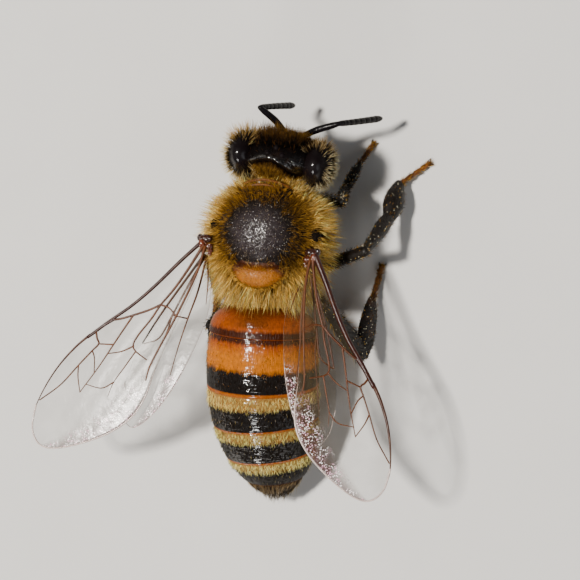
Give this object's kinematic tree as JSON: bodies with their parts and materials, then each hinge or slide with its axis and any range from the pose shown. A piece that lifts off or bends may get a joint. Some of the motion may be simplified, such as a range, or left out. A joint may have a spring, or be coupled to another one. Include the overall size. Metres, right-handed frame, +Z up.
{
  "type": "honey bee",
  "caption": "Worker honey bee at life size, standing with wings half spread, as a still museum-style model.",
  "frame": {"origin": "middle of the model's box, on the floor under its feet", "axes": "+Z up from the floor, -Y the way the bee faces, +X its left side"},
  "size_m": [0.0134, 0.0148, 0.0058],
  "materials": {
    "coat_gold": "soft",
    "shell_black": "satin",
    "eye_black": "gloss",
    "shell_amber": "gloss",
    "band_orange": "satin",
    "band_brown": "matt",
    "leg_brown": "satin",
    "wing_smoke": "clear"
  },
  "bodies": {
    "root": {"abdomen_ring_1": "band_orange", "abdomen_ring_2": "band_orange", "abdomen_ring_3": "band_brown", "abdomen_ring_4": "band_brown", "abdomen_ring_5": "band_brown", "abdomen_ring_6": "band_brown", "antenna_left_flagellum": "shell_black", "antenna_left_scape": "shell_black", "antenna_right_flagellum": "shell_black", "antenna_right_scape": "shell_black", "eye_left": "eye_black", "eye_right": "eye_black", "forewing_left": "wing_smoke", "forewing_right": "wing_smoke", "head": "shell_black", "hindwing_left": "wing_smoke", "hindwing_right": "wing_smoke", "leg_front_left_basitarsus": "shell_black", "leg_front_left_femur": "leg_brown", "leg_front_left_hip": "leg_brown", "leg_front_left_tarsus": "leg_brown", "leg_front_left_tibia": "shell_black", "leg_front_right_basitarsus": "shell_black", "leg_front_right_femur": "leg_brown", "leg_front_right_hip": "leg_brown", "leg_front_right_tarsus": "leg_brown", "leg_front_right_tibia": "shell_black", "leg_hind_left_basitarsus": "shell_black", "leg_hind_left_femur": "leg_brown", "leg_hind_left_hip": "leg_brown", "leg_hind_left_tarsus": "leg_brown", "leg_hind_left_tibia": "shell_black", "leg_hind_right_basitarsus": "shell_black", "leg_hind_right_femur": "leg_brown", "leg_hind_right_hip": "leg_brown", "leg_hind_right_tarsus": "leg_brown", "leg_hind_right_tibia": "shell_black", "leg_middle_left_basitarsus": "shell_black", "leg_middle_left_femur": "leg_brown", "leg_middle_left_hip": "leg_brown", "leg_middle_left_tarsus": "leg_brown", "leg_middle_left_tibia": "shell_black", "leg_middle_right_basitarsus": "shell_black", "leg_middle_right_femur": "leg_brown", "leg_middle_right_hip": "leg_brown", "leg_middle_right_tarsus": "leg_brown", "leg_middle_right_tibia": "shell_black", "mandible_left": "leg_brown", "mandible_right": "leg_brown", "neck": "shell_black", "petiole": "shell_black", "proboscis": "leg_brown", "scutellum": "shell_amber", "tegula_left": "shell_amber", "tegula_right": "shell_amber", "thorax": "coat_gold"}
  },
  "joints": []
}
